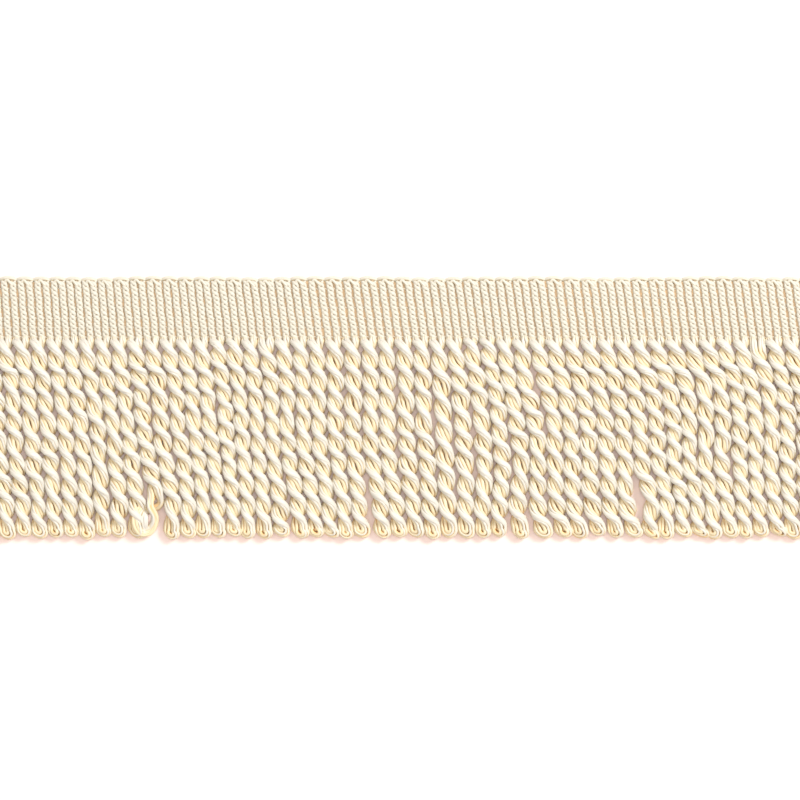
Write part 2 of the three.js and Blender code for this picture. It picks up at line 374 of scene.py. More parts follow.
@dataclass
class ShaderNodes:
    """Adds nodes to a material and links them up."""

    tree: bpy.types.NodeTree

    def add(self, kind: str, inputs: dict[str | int, object], **settings: object) -> bpy.types.Node:
        """Adds one node.

        Args:
            kind: Its type.
            inputs: What goes into its inputs, the outputs of other nodes or values.
            settings: Its own settings.

        Returns:
            The node.
        """
        node = self.tree.nodes.new(kind)
        for name, value in settings.items():
            setattr(node, name, value)
        for name, value in inputs.items():
            if isinstance(value, bpy.types.NodeSocket):
                self.tree.links.new(value, node.inputs[name])
            else:
                node.inputs[name].default_value = value
        return node

    def maths(self, operation: str, *values: bpy.types.NodeSocket | float) -> bpy.types.NodeSocket:
        """The result of a sum with outputs and numbers."""
        return self.add("ShaderNodeMath", dict(enumerate(values)), operation=operation).outputs["Value"]

    def noise(self, place: bpy.types.NodeSocket, scale: float, detail: float) -> bpy.types.NodeSocket:
        """The level of a noise that is equally fine all ways."""
        inputs = {"Vector": place, "Scale": scale, "Detail": detail}
        return self.add("ShaderNodeTexNoise", inputs).outputs["Fac"]

    def fibres(self, uv: bpy.types.NodeSocket, grain: tuple[float, float]) -> bpy.types.NodeSocket:
        """The level of a noise with one grain round the yarn and another along it."""
        stretch = self.add("ShaderNodeMapping", {"Vector": uv, "Scale": (*grain, 1.0)})
        return self.noise(stretch.outputs["Vector"], 1.0, FIBRE_DETAIL)

    def graded(
        self, level: bpy.types.NodeSocket, before: tuple[float, float], after: tuple[float, float]
    ) -> bpy.types.NodeSocket:
        """Moves a level from one range to another and holds it there.

        Args:
            level: The output that gives the level.
            before: The range it is read in.
            after: The range it is given.

        Returns:
            The socket that gives the new level.
        """
        inputs = {"Value": level, "From Min": before[0], "From Max": before[1]}
        inputs |= {"To Min": after[0], "To Max": after[1]}
        return self.add("ShaderNodeMapRange", inputs).outputs["Result"]


@dataclass(frozen=True)
class YarnFinish:
    """A lustrous twisted yarn with painted shade: paler where it sticks out, deeper where it turns in.

    crest is the yarn's colour in full painted light, flank its colour halfway and inner its colour in the
    deepest painted shade. bundles counts the bundles of fibres that wind round the yarn, relief is their
    height in metres, and bundle_share is their part of it. A grain counts spots round the yarn and in a
    metre of its length.
    """

    crest: tuple[float, float, float]
    flank: tuple[float, float, float]
    inner: tuple[float, float, float]
    roughness: float = 0.42
    sheen: float = 0.1
    sheen_roughness: float = 0.4
    bundles: int = 6
    turns_per_m: float = 26.0
    relief: float = 0.0001
    relief_strength: float = 0.6
    bundle_share: float = 0.25
    fibre_grain: tuple[float, float] = (30.0, 900.0)
    mottle_per_m: float = 900.0
    mottle_detail: float = 3.0
    mottle: tuple[float, float] = (0.94, 1.05)
    streak_grain: tuple[float, float] = (11.0, 170.0)
    streak_from: tuple[float, float] = (0.3, 0.7)
    streak: tuple[float, float] = (0.84, 1.06)

    def build(self, name: str) -> bpy.types.Material:
        """The finish as a material.

        Args:
            name: The material's name.

        Returns:
            A material that reads the yarn's own UV map and its painted light attribute.
        """
        material = bpy.data.materials.new(name)
        material.use_nodes = True
        material.node_tree.nodes.clear()
        nodes = ShaderNodes(material.node_tree)
        place = nodes.add("ShaderNodeTexCoord", {})
        inputs = {
            "Base Color": self._colour(nodes, place),
            "Normal": self._relief(nodes, place.outputs["UV"]),
            "Roughness": self.roughness,
            "Sheen Weight": self.sheen,
            "Sheen Roughness": self.sheen_roughness,
        }
        shader = nodes.add("ShaderNodeBsdfPrincipled", inputs)
        nodes.add("ShaderNodeOutputMaterial", {"Surface": shader.outputs["BSDF"]})
        return material

    def _colour(self, nodes: ShaderNodes, place: bpy.types.Node) -> bpy.types.NodeSocket:
        """The colour, with shade painted in where the surface turns in, slightly mottled and streaked.

        Args:
            nodes: The material's nodes.
            place: The node that gives the place on the yarn.

        Returns:
            The socket that gives the colour.
        """
        # Painted shade: the ramp runs from inner in deep painted shade to crest in full painted light.
        painted_light = nodes.add("ShaderNodeAttribute", {}, attribute_name="painted_light")
        ramp = nodes.add("ShaderNodeValToRGB", {"Fac": painted_light.outputs["Fac"]})
        ramp.color_ramp.interpolation = "EASE"
        ramp.color_ramp.elements[0].color = (*self.inner, 1)
        ramp.color_ramp.elements[1].color = (*self.crest, 1)
        ramp.color_ramp.elements.new(0.5).color = (*self.flank, 1)
        mottle = nodes.noise(place.outputs["Object"], self.mottle_per_m, self.mottle_detail)
        streaks = nodes.fibres(place.outputs["UV"], self.streak_grain)
        shade = nodes.maths(
            "MULTIPLY",
            nodes.graded(mottle, (0.0, 1.0), self.mottle),
            nodes.graded(streaks, self.streak_from, self.streak),
        )
        inputs = {"Factor": 1.0, "A": ramp.outputs["Color"], "B": shade}
        mix = nodes.add("ShaderNodeMix", inputs, data_type="RGBA", blend_type="MULTIPLY")
        return mix.outputs["Result"]

    def _relief(self, nodes: ShaderNodes, uv: bpy.types.NodeSocket) -> bpy.types.NodeSocket:
        """The fibre bundles that wind round the yarn, as a bump.

        Args:
            nodes: The material's nodes.
            uv: The socket that gives the place round the yarn and along it.

        Returns:
            The socket that gives the normal.
        """
        split = nodes.add("ShaderNodeSeparateXYZ", {"Vector": uv})
        all_round = 2 * math.pi * self.bundles
        turned = nodes.maths("MULTIPLY", split.outputs["X"], all_round)
        winding = nodes.maths("MULTIPLY_ADD", split.outputs["Y"], all_round * self.turns_per_m, turned)
        wave = nodes.maths("SINE", winding)
        fibres = nodes.fibres(uv, self.fibre_grain)
        height = nodes.maths("MULTIPLY_ADD", wave, self.bundle_share, fibres)
        inputs = {"Height": height, "Strength": self.relief_strength, "Distance": self.relief}
        return nodes.add("ShaderNodeBump", inputs).outputs["Normal"]


@dataclass(frozen=True)
class End:
    """One end of yarn in the cut face of a twisted cord, which turns as a whole down the cord.

    out and side place its middle from the cord's middle, and half holds its half thickness outwards and
    its half width sideways.
    """

    out: float
    side: float
    half: tuple[float, float]
    sides: int

    def ring(self) -> np.ndarray:
        """The angles of its corners, from its inward face all the way round."""
        return 2 * np.pi * np.arange(self.sides) / self.sides + np.pi

    def turned_out(self) -> np.ndarray:
        """How far each corner looks outwards, from 0 to 1."""
        return 0.5 + 0.5 * np.cos(self.ring())


def openness(end: End, others: list[End]) -> np.ndarray:
    """How open each corner of an end is to the outside, past the other ends of its cord.

    Args:
        end: The end whose corners are looked at.
        others: The other ends in the same cut face.

    Returns:
        A share from 0 to 1 for each corner.
    """
    turn = end.ring()
    middle = np.array([end.out, end.side])
    half = np.array(end.half)
    round_it = np.stack([np.cos(turn), np.sin(turn)], axis=1)
    points = middle + half * round_it
    facing = unit(round_it / half)
    spread = np.linspace(-WIDEST_RAY, WIDEST_RAY, RAYS)
    weight = np.cos(spread)
    base = np.arctan2(facing[:, 1], facing[:, 0])
    angle = base[:, None] + spread[None, :]
    rays_out = np.stack([np.cos(angle), np.sin(angle)], axis=2)
    clear = np.ones(angle.shape)
    for other in others:
        size = np.array(other.half)
        start = (points - np.array([other.out, other.side])) / size
        step = rays_out / size
        # A ray meets the other end where a t^2 + b t + c = 0 has a root ahead of it.
        a = np.sum(step * step, axis=2)
        b = 2 * np.sum(start[:, None, :] * step, axis=2)
        c = np.sum(start * start, axis=1)[:, None] - 1
        found = b * b - 4 * a * c
        hit = (found > 0) & ((-b + np.sqrt(np.maximum(found, 0))) > 0)
        clear = np.where(hit, 0.0, clear)
    return (clear * weight).sum(axis=1) / weight.sum()


def make_piece(
    name: str,
    points: np.ndarray,
    faces: list[tuple[int, ...]],
    uvs: np.ndarray,
    painted_lights: np.ndarray,
    material: bpy.types.Material,
) -> bpy.types.Object:
    """Makes one piece with the UV map and the painted light attribute that the finishes read.

    Args:
        name: Its name.
        points: Its corners, in metres.
        faces: The corners of each face.
        uvs: The place on the yarn at each face's corners, face by face.
        painted_lights: How lit each corner is painted, from 0 in the deepest painted shade to 1.
        material: The finish it wears.

    Returns:
        The object, with its place in its mesh.
    """
    mesh = bpy.data.meshes.new(name)
    mesh.from_pydata(points.tolist(), [], faces)
    uv_map = mesh.uv_layers.new(name="along_yarn")
    uv_map.data.foreach_set("uv", uvs.astype(np.float32).ravel())
    painted_light = mesh.attributes.new("painted_light", "FLOAT", "POINT")
    painted_light.data.foreach_set("value", painted_lights.astype(np.float32))
    mesh.shade_smooth()
    mesh.materials.append(material)
    piece = bpy.data.objects.new(name, mesh)
    bpy.context.scene.collection.objects.link(piece)
    return piece


@dataclass
class YarnMesh:
    """Runs of yarn gathered into one mesh, with a UV map along each run and the painted light attribute."""

    name: str
    points: list[np.ndarray] = field(default_factory=list)
    quads: list[np.ndarray] = field(default_factory=list)
    quad_uvs: list[np.ndarray] = field(default_factory=list)
    caps: list[tuple[int, ...]] = field(default_factory=list)
    painted_lights: list[np.ndarray] = field(default_factory=list)
    count: int = 0

    def add(
        self,
        line: np.ndarray,
        outward: np.ndarray,
        end: End,
        painted_light: np.ndarray,
        swell: np.ndarray | float = 1.0,
        lit_from: tuple[float, float] = EVERYWHERE_LIT,
    ) -> None:
        """Adds one run of yarn with closed ends.

        Args:
            line: The run's middle line, in millimetres.
            outward: The way its face looks, at each point or all along, not always square to the line.
            end: The end's thickness, width and number of sides.
            painted_light: Each corner's painted light, 0 in the deepest painted shade to 1, for all points
                or each.
            swell: How much thicker or thinner it is at each point.
            lit_from: The heights over which its painted shade near the floor gives way to painted light.
        """
        tangent = unit(np.gradient(line, axis=0))
        face = unit(outward - tangent * np.sum(outward * tangent, axis=1, keepdims=True))
        across = np.cross(tangent, face)
        turn = end.ring()
        size = np.broadcast_to(np.asarray(swell, float), len(line))[:, None, None]
        rings = end.half[0] * size * np.cos(turn)[None, :, None] * face[:, None, :]
        rings = rings + end.half[1] * size * np.sin(turn)[None, :, None] * across[:, None, :]
        rings = rings + line[:, None, :]
        n, k = len(line), end.sides
        i, j = np.meshgrid(np.arange(n - 1), np.arange(k), indexing="ij")
        after = (j + 1) % k
        quads = np.stack([i * k + j, i * k + after, (i + 1) * k + after, (i + 1) * k + j], axis=2)
        u, v = j / k, gone_along(line) * MM
        corners = ((u, v[i]), (u + 1 / k, v[i]), (u + 1 / k, v[i + 1]), (u, v[i + 1]))
        uvs = np.stack([np.stack(corner, axis=2) for corner in corners], axis=2)
        self.points.append(rings.reshape(-1, 3))
        self.quads.append(quads.reshape(-1, 4) + self.count)
        self.quad_uvs.append(uvs.reshape(-1, 2))
        self.caps.append(tuple(self.count + x for x in reversed(range(k))))
        self.caps.append(tuple(self.count + (n - 1) * k + x for x in range(k)))
        # Painted shade: the colour darkens towards the floor, down to IN_GLOOM of its painted light.
        risen = smooth((rings[:, :, 2] - lit_from[0]) / (lit_from[1] - lit_from[0]))
        lit = np.broadcast_to(painted_light, (n, k)) * (IN_GLOOM + (1 - IN_GLOOM) * risen)
        self.painted_lights.append(lit.ravel())
        self.count += n * k

    def finish(self, shift: np.ndarray, material: bpy.types.Material) -> bpy.types.Object:
        """Makes the gathered runs one object.

        Args:
            shift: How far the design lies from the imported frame, in millimetres.
            material: The finish it wears.

        Returns:
            The object, with its place in its mesh.
        """
        points = (np.concatenate(self.points) + shift) * MM
        faces = [*map(tuple, np.concatenate(self.quads).tolist()), *self.caps]
        cap_uvs = np.zeros((sum(len(cap) for cap in self.caps), 2))
        uvs = np.concatenate([*self.quad_uvs, cap_uvs])
        return make_piece(self.name, points, faces, uvs, np.concatenate(self.painted_lights), material)


@dataclass(frozen=True)
class CordPlay:
    """How far single cords may stray from the usual, each for a random draw of one.

    Lengths are millimetres, turns are radians, and swell is a share of the plies' distance. usual_roll is
    how far every end loop leans over.
    """

    waver: float = 0.22
    final: float = 0.5
    tilt: float = 0.25
    slow_turn: float = 0.44
    quick_turn: float = 0.36
    turn_phase: float = 3.0
    swell: float = 0.06
    swells: float = 3.1
    swell_phase: float = 5.0
    end_place: float = 0.14
    roll: float = 0.65
    usual_roll: float = 0.35


@dataclass
class CordLay:
    """How one cord lies, at each point of its middle line from the top down.

    down is the share of its length. across lies square to it in the floor's plane, and radial and around
    turn with its plies. squeeze is the share of its width kept on the left and right, gathered the plies'
    size on leaving the heading, and swell their distance's own unevenness.
    """

    twist: OddTwist
    slack: bool
    draws: np.ndarray
    line: np.ndarray
    down: np.ndarray
    ahead: np.ndarray
    across: np.ndarray
    radial: np.ndarray
    around: np.ndarray
    squeeze: np.ndarray
    gathered: np.ndarray
    swell: np.ndarray


@dataclass
class EndLoop:
    """The small closed loop at a cord's foot, where every end turns from one ply into the other.

    turned is how far round each point lies, bend the way out from the foot there, and roll how far the
    ply has rolled over towards beside.
    """

    foot: np.ndarray
    turned: np.ndarray
    bend: np.ndarray
    roll: np.ndarray
    beside: np.ndarray
    ply_middle: float

    def way_round(self, out: np.ndarray, side: np.ndarray) -> np.ndarray:
        """One end's way round the loop.

        Args:
            out: How far out the end lies at the foot of both plies.
            side: How far sideways it lies there.

        Returns:
            The points of its line.
        """
        share = self.turned / np.pi
        out = out[0] * (1 - share) + out[1] * share - self.ply_middle
        side = side[0] * (1 - share) + side[1] * share
        cos, sin = np.cos(self.roll), np.sin(self.roll)
        far = self.ply_middle + out * cos - side * sin
        wide = out * sin + side * cos
        return self.foot + far[:, None] * self.bend + wide[:, None] * self.beside

    def facing(self) -> np.ndarray:
        """The way the ends look all round the loop."""
        return between(self.bend, self.beside, self.roll)


@dataclass
class CordFringe:
    """The bullion cords: each is one ply doubled on itself, so its ends run down, round and back up.

    crest, shoulder and flank are the ends of one ply, and the painted light of each is how pale it comes
    out at most; their colour takes painted shade where the other ends hide them and low down by the floor.
    """

    plan: Plan
    shift: np.ndarray
    play: CordPlay = CordPlay()
    usual: OddTwist = OddTwist(cord=-1, crossings=9, first=16.7, final=-31.1, lean=0.35)
    twist_haste: float = 0.22
    end_tilt: float = 0.45
    crest: End = End(out=2.08, side=0.0, half=(0.51, 0.76), sides=10)
    shoulder: End = End(out=1.5, side=1.04, half=(0.4, 0.4), sides=6)
    flank: End = End(out=0.66, side=0.78, half=(0.56, 0.52), sides=8)
    ply_middle: float = 1.4
    # Painted light: how pale the side ends, the cord in the heading and its loop's outer side come out.
    shoulder_painted_light: float = 0.92
    flank_painted_light: float = 0.6
    rib_painted_light: float = 1.5
    loop_painted_light: float = 0.92
    # Openness over which painted shade gives way, and heights where painted shade by the floor fades.
    shut_in: float = 0.1
    shut_in_span: float = 0.45
    lit_from: tuple[float, float] = (0.6, 3.7)
    gathered_in: float = 20.7
    gathered_size: float = 0.42
    gather_span: float = 2.0
    rib_end: float = 18.9
    rib_end_span: float = 2.8
    rib_level: float = 1.35
    above_foot: float = 0.6
    rise_span: float = 2.6
    lie: float = 2.42
    loop_lie: float = 1.75
    sink_span: float = 7.0
    least_level: float = 0.74
    slack_from: float = -23.9
    slack_rise: float = 0.4
    slack_step: float = 0.5
    edge_room: float = 4.8
    full_room: float = 4.9
    squeezed: tuple[float, float] = (0.84, 1.06)
    ring_step: float = 0.76
    loop_rings: int = 9
    cords_per_piece: int = 14

    def build(self, material: bpy.types.Material) -> list[bpy.types.Object]:
        """Builds every cord.

        Args:
            material: The cords' finish.

        Returns:
            The pieces, a run of neighbouring cords in each.
        """
        rng = np.random.default_rng(SEED)
        routes = self.plan.routes()
        ends, painted_lights = self.section()
        pieces = []
        for first in range(0, CORDS, self.cords_per_piece):
            yarns = YarnMesh(f"bullion_cords_{first // self.cords_per_piece + 1}")
            for cord in range(first, min(first + self.cords_per_piece, CORDS)):
                lay = self._lay(cord, routes, rng)
                for place, end, painted_light in zip(np.linspace(-1, 1, len(ends)), ends, painted_lights):
                    self._add_end(yarns, lay, end, painted_light, place, rng.uniform(-1, 1, (2, 2, 3)))
            pieces.append(yarns.finish(self.shift, material))
        return pieces

    def section(self) -> tuple[list[End], list[np.ndarray]]:
        """The ends of one ply in the cord's cut face.

        Returns:
            The ends, and each corner's painted light, with painted shade where the other ends hide it.
        """
        ply = [self.crest]
        fullest = [1.0]
        for end, most in ((self.shoulder, self.shoulder_painted_light), (self.flank, self.flank_painted_light)):
            ply += [end, replace(end, side=-end.side)]
            fullest += [most, most]
        other_ply = [replace(end, out=-end.out) for end in ply]
        painted_lights = []
        for end, most in zip(ply, fullest):
            others = [x for x in (*ply, *other_ply) if x is not end]
            # Painted shade: corners that the other ends of the cord hide take the deep colour.
            painted_lights.append(most * smooth((openness(end, others) - self.shut_in) / self.shut_in_span))
        return ply, painted_lights

    def _x_down(self, route: np.ndarray, y: np.ndarray) -> np.ndarray:
        """The X of one cord on its way down.

        Args:
            route: The cord's X at its start and levels.
            y: The heights, from the top down.

        Returns:
            Its X at each height.
        """
        heights = np.array([self.gathered_in, self.plan.start, *self.plan.levels])
        top = float(self.plan.leaned_x(route[0], self.gathered_in))
        return curve_through(heights[::-1], np.array([top, *route])[::-1], y)

    def _middle_line(self, cord: int, routes: np.ndarray) -> tuple[np.ndarray, np.ndarray]:
        """A cord's middle line and its room on both sides.

        Args:
            cord: Which cord.
            routes: Every cord's X at its start and levels.

        Returns:
            The line's points, and the gap to the neighbour on the left and right at each.
        """
        plan = self.plan
        slack = cord == SLACK_CORD.cord
        reach = self.crest.out + self.crest.half[0]
        last = self.slack_from if slack else plan.cord_end(cord) + reach
        count = int(round((self.gathered_in - last) / self.ring_step)) + 1
        y = np.linspace(self.gathered_in, last, count)
        x = self._x_down(routes[cord], y)
        left = np.full_like(x, self.edge_room)
        right = left
        if cord > 0:
            left = x - self._x_down(routes[cord - 1], y)
        if cord + 1 < CORDS:
            right = self._x_down(routes[cord + 1], y) - x
        rise = smooth((plan.foot + self.above_foot - y) / self.rise_span)
        sink = smooth((last + self.sink_span - y) / self.sink_span)
        z = self.rib_level + (self.lie - self.rib_level) * rise
        z = z + (self.slack_rise if slack else self.loop_lie - self.lie) * sink
        return np.stack([x, y, z], axis=1), np.stack([left, right], axis=1)

    def _lay(self, cord: int, routes: np.ndarray, rng: np.random.Generator) -> CordLay:
        """How one cord lies and turns.

        Args:
            cord: Which cord.
            routes: Every cord's X at its start and levels.
            rng: The source of the small differences between cords.

        Returns:
            Its middle line and all that goes along it.
        """
        play = self.play
        line, room = self._middle_line(cord, routes)
        y = line[:, 1]
        draws = rng.uniform(-1, 1, 6)
        down = (self.gathered_in - y) / (self.gathered_in - y[-1])
        odd = next((row for row in ODD_TWISTS if row.cord == cord), self.usual)
        final = odd.final + (play.final * draws[4] if odd is self.usual else 0.0)
        turned = self._turned(y, odd, final, self.end_tilt + play.tilt * draws[3])
        ease = np.sin(np.pi * down)
        line[:, 0] += play.waver * ease * slow_wave(down, draws[:3])
        slow = play.slow_turn * draws[0] * np.sin(2 * np.pi * down + play.turn_phase * draws[1])
        quick = play.quick_turn * draws[2] * np.sin(6 * np.pi * down + play.turn_phase * draws[3])
        theta = np.pi - turned + self.twist_haste * np.sin(2 * turned) + ease * (slow + quick)
        ahead, across, up = axes_along(line)
        swelling = np.sin(2 * np.pi * play.swells * down + play.swell_phase * draws[5])
        freed = smooth((self.gathered_in - y) / self.gather_span)
        return CordLay(
            twist=odd,
            slack=cord == SLACK_CORD.cord,
            draws=draws,
            line=line,
            down=down,
            ahead=ahead,
            across=across,
            radial=between(across, up, theta),
            around=between(up, -across, theta),
            squeeze=np.clip(room / self.full_room, *self.squeezed),
            gathered=self.gathered_size + (1 - self.gathered_size) * freed,
            swell=1 + play.swell * swelling,
        )

    def _turned(self, y: np.ndarray, odd: OddTwist, final: float, tilt: float) -> np.ndarray:
        """How far a cord has turned at each height, in radians from its start.

        Args:
            y: The heights, from the top down.
            odd: The cord's twist.
            final: The height of its last crossing.
            tilt: How far short of lying flat its end loop stays.

        Returns:
            The turn, a quarter turn before the first crossing at the start.
        """
        half_turn = (odd.first - final) / (odd.crossings - 1)
        turned = np.pi * (0.5 + (odd.first - y) / half_turn)
        crossed = np.pi * (odd.crossings - 0.5)
        rest = np.clip((final - y) / (final - y[-1]), 0.0, 1.0)
        left = np.pi / 2 - tilt
        power = np.pi / half_turn * (final - y[-1]) / left
        slowing = crossed + left * (1 - (1 - rest) ** max(power, 1.0))
        return np.maximum(np.where(y > final, turned, slowing), 0.0)

    def _add_end(
        self,
        yarns: YarnMesh,
        lay: CordLay,
        end: End,
        painted_light: np.ndarray,
        place: float,
        draws: np.ndarray,
    ) -> None:
        """Adds one end of a cord, down one ply, round the loop and up the other.

        Args:
            yarns: The mesh that takes it.
            lay: How the cord lies.
            end: The end.
            painted_light: Its corners' painted light, from painted shade at 0.
            place: Its place across a slack loop, from -1 to 1.
            draws: The random numbers from -1 to 1 of its small wander in both plies.
        """
        waves = self.play.end_place * np.array([[slow_wave(lay.down, w) for w in row] for row in draws])
        out = self.ply_middle + (end.out * lay.swell + waves[0] - self.ply_middle) * lay.gathered
        side = (end.side + waves[1]) * lay.gathered
        around = side[:, :, None] * lay.around
        down_ply = self._held(lay, lay.line + out[0][:, None] * lay.radial + around[0])
        up_ply = self._held(lay, lay.line - out[1][:, None] * lay.radial + around[1])
        if lay.slack:
            loop = self._slack_loop(down_ply, up_ply, place)
            facing = between(lay.radial[-1], UP, np.linspace(0, np.pi, len(loop)))
        else:
            end_loop = self._end_loop(lay)
            loop = end_loop.way_round(out[:, -1], side[:, -1])
            facing = end_loop.facing()
        run = np.concatenate([down_ply, loop, up_ply[::-1]])
        run[:, 2] = np.maximum(run[:, 2], self.least_level)
        outward = np.concatenate([lay.radial, facing, -lay.radial[::-1]])
        # Painted light: full where the cord is gathered into the heading, and on the loop's outer side.
        apart = smooth((self.rib_end - lay.line[:, 1]) / self.rib_end_span)[:, None]
        straight = painted_light * apart + self.rib_painted_light * (1 - apart)
        bare = np.sin(np.linspace(0, np.pi, len(loop)))[:, None]
        out_there = self.loop_painted_light * painted_light.max() * end.turned_out()
        looped = painted_light * (1 - bare) + np.maximum(painted_light, out_there) * bare
        painted_lights = np.concatenate([straight, looped, straight[::-1]])
        size = np.concatenate([lay.gathered, np.ones(len(loop)), lay.gathered[::-1]])
        yarns.add(run, outward, end, painted_lights, size, self.lit_from)

    def _end_loop(self, lay: CordLay) -> EndLoop:
        """The closed loop at a cord's foot.

        Args:
            lay: How the cord lies.

        Returns:
            The loop, which leans the way that the cord's twist says.
        """
        turned = np.pi * (np.arange(self.loop_rings) + 1) / (self.loop_rings + 1)
        leaning = self.play.roll * lay.draws[5] - self.play.usual_roll
        return EndLoop(
            foot=lay.line[-1],
            turned=turned,
            bend=between(lay.radial[-1], lay.ahead[-1] + lay.twist.lean * lay.across[-1], turned),
            roll=np.sin(turned) * leaning * np.sign(lay.around[-1, 2]),
            beside=lay.around[-1],
            ply_middle=self.ply_middle,
        )

    def _slack_loop(self, down_ply: np.ndarray, up_ply: np.ndarray, place: float) -> np.ndarray:
        """The slack cord's open loop, from the foot of one ply to the foot of the other.

        Args:
            down_ply: The line of the end down the cord.
            up_ply: The line of the same end in the other ply, also from the top down.
            place: The end's place across the loop, from -1 at its inner rim to 1 at its outer rim.

        Returns:
            The loop's points between both plies.
        """
        middle = np.array([(row.x, row.y, row.z) for row in SLACK_LOOP])
        spread = np.array([row.spread for row in SLACK_LOOP])
        outer = unit(np.cross(UP, unit(np.gradient(middle, axis=0))))
        keys = middle + (place * spread)[:, None] * outer
        keys = np.concatenate([down_ply[-2:], keys, up_ply[:-3:-1]])
        gone = gone_along(keys)
        where = np.linspace(gone[1], gone[-2], int((gone[-2] - gone[1]) / self.slack_step) + 1)
        found = np.stack([curve_through(gone, keys[:, axis], where) for axis in range(3)], axis=1)
        return found[1:-1]

    def _held(self, lay: CordLay, ply: np.ndarray) -> np.ndarray:
        """A ply squeezed sideways where its neighbours leave less room, and held up by the floor.

        Args:
            lay: How the cord lies.
            ply: The ply's line.

        Returns:
            The ply's line between its neighbours.
        """
        side = np.sum((ply - lay.line) * lay.across, axis=1)
        share = np.where(side < 0, lay.squeeze[:, 0], lay.squeeze[:, 1])
        held = ply + ((share - 1) * side)[:, None] * lay.across
        level = lay.line[:, 2]
        under = np.minimum(held[:, 2] - level, 0.0)
        kept = np.clip((level - self.least_level) / (self.lie - self.least_level), 0.0, 1.0)
        held[:, 2] += under * (kept - 1)
        return held


def axes_along(line: np.ndarray) -> tuple[np.ndarray, np.ndarray, np.ndarray]:
    """The axes that go along with a line.

    Args:
        line: The line's points.

    Returns:
        The way ahead, the way across it in the floor's plane and the way up from both, at each point.
    """
    ahead = unit(np.gradient(line, axis=0))
    across = unit(np.cross(UP, ahead))
    return ahead, across, np.cross(ahead, across)


def between(first: np.ndarray, second: np.ndarray, angle: np.ndarray) -> np.ndarray:
    """The ways that lie at an angle from a first way towards a second one.

    Args:
        first: The way at no angle, one or one for each angle.
        second: The way at a quarter turn.
        angle: The angles in radians.

    Returns:
        One way for each angle.
    """
    return np.cos(angle)[:, None] * first + np.sin(angle)[:, None] * second


def gone_along(line: np.ndarray) -> np.ndarray:
    """The length of a line up to each of its points."""
    return np.concatenate([[0.0], np.cumsum(np.linalg.norm(np.diff(line, axis=0), axis=1))])


def slow_wave(down: np.ndarray, draws: np.ndarray) -> np.ndarray:
    """A gentle unevenness down a cord.

    Args:
        down: How far down the cord, from 0 to 1.
        draws: Three random numbers from -1 to 1 that set the wave.

    Returns:
        The wave, mostly between -1 and 1.
    """
    quick = np.sin(2 * np.pi * (QUICK_WAVES + QUICK_SPREAD * draws[1]) * down + QUICK_PHASE * draws[2])
    slow = np.sin(2 * np.pi * (SLOW_WAVES + draws[0]) * down + SLOW_PHASE * draws[1])
    return 0.5 * slow + 0.5 * quick


def curve_through(keys: np.ndarray, values: np.ndarray, where: np.ndarray) -> np.ndarray:
    """A smooth curve through points, with the slope at each taken from its neighbours.

    Args:
        keys: The points' places, rising.
        values: The points' values.
        where: The places wanted.

    Returns:
        The curve's values there, carried on straight past both ends.
    """
    slopes = np.gradient(values, keys)
    at = np.clip(np.searchsorted(keys, where) - 1, 0, len(keys) - 2)
    span = keys[at + 1] - keys[at]
    t = (where - keys[at]) / span
    inside = np.clip(t, 0, 1)
    h00 = 2 * inside**3 - 3 * inside**2 + 1
    h10 = inside**3 - 2 * inside**2 + inside
    h01 = -2 * inside**3 + 3 * inside**2
    h11 = inside**3 - inside**2
    found = h00 * values[at] + h10 * span * slopes[at]
    found = found + h01 * values[at + 1] + h11 * span * slopes[at + 1]
    beyond = (t - inside) * span
    return found + beyond * np.where(t < 0, slopes[at], slopes[at + 1])


@dataclass(frozen=True)
class GroundSize:
    """The ground cloth: its points to a rib and up the heading, its edges, thickness and painted light."""

    per_rib: int = 4
    rows: int = 16
    above_foot: float = 0.1
    above_ribs: float = 0.5
    thickness: float = 0.8
    ribbed: float = 0.5
    painted_light: float = 0.1
    rim_painted_light: float = 1.0


@dataclass(frozen=True)
class RibSize:
    """A rib's twisted pair of ends.

    feet are the heights where the ribs end by turns, lay is the length of one turn, haste how much faster
    it turns between stitches, and flatness how low the pair lies for its width.
    """

    end: End = End(out=0.56, side=0.0, half=(0.48, 0.66), sides=8)
    lie: float = 1.35
    top: float = 36.3
    feet: tuple[float, float] = (19.3, 18.5)
    lay: float = 2.743
    haste: float = 0.47
    flatness: float = 0.42
    pinch: float = 0.07
    sink: float = 0.5
    sink_span: float = 0.9
    wander: float = 0.08
    wander_phase: float = 3.0
    turn_play: float = 0.35
    ring_step: float = 0.3


@dataclass(frozen=True)
class BindingSize:
    """The rows of fine thread, which sway along the heading and weave over and under the ribs."""

    thread: End = End(out=0.0, side=0.0, half=(0.26, 0.26), sides=5)
    rows: tuple[float, ...] = (34.14, 31.43, 28.7, 25.7, 23.0, 20.3)
    per_rib: int = 8
    set_in: float = 0.1
    wander: float = 0.12
    sway: float = 0.22
    lie: float = 0.85
    weave: float = 0.32


@dataclass(frozen=True)
class ArchSize:
    """The yarn of an arch: a bow along the top edge, and a slant that crosses down under it.

    The slant is highest at slant_top, counted from the arch's middle in halves of its width, and falls
    further to the right than to the left.
    """

    yarn: End = End(out=0.0, side=0.0, half=(0.5, 0.5), sides=8)
    points: int = 15
    facing: tuple[float, float, float] = (0.0, 0.5, 0.86)
    under_edge: float = 0.3
    rise: float = 0.55
    roundness: float = 2.5
    lie: float = 1.45
    drop: float = 0.75
    steepness: float = 3.0
    slant_under: float = 1.35
    slant_top: float = -0.3
    slant_right: float = 1.5
    slant_left: float = 0.7
    slant_half: float = 0.26
    slant_lie: float = 1.5
    slant_bow: float = 0.25
    slant_size: float = 0.9


